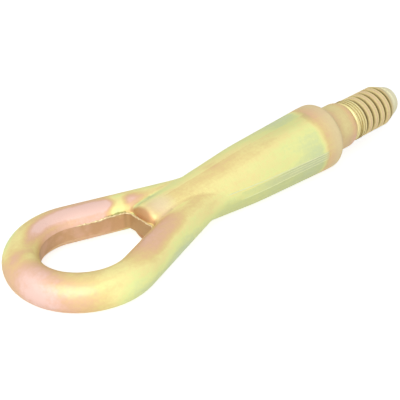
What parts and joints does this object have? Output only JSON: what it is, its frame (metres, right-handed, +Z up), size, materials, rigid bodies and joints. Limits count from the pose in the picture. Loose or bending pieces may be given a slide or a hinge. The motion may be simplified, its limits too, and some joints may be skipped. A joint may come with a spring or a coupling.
{
  "type": "screw-in tow hook",
  "caption": "Forged screw-in tow hook: oval eye, nose between its legs, swelling round shank, shoulder, plain neck and coarse right-hand thread, zinc plated with a yellow passivated finish.",
  "frame": {"origin": "centre of the shoulder's seat face, on the thread axis", "axes": "+X along the thread axis towards the threaded tip, the eye lies in the XY plane, +Z up through the eye"},
  "size_m": [0.2058, 0.0586, 0.0286],
  "materials": {
    "plated_steel": "yellow passivated zinc plate, satin"
  },
  "bodies": {
    "root": {"tow_hook": "plated_steel"}
  },
  "joints": []
}
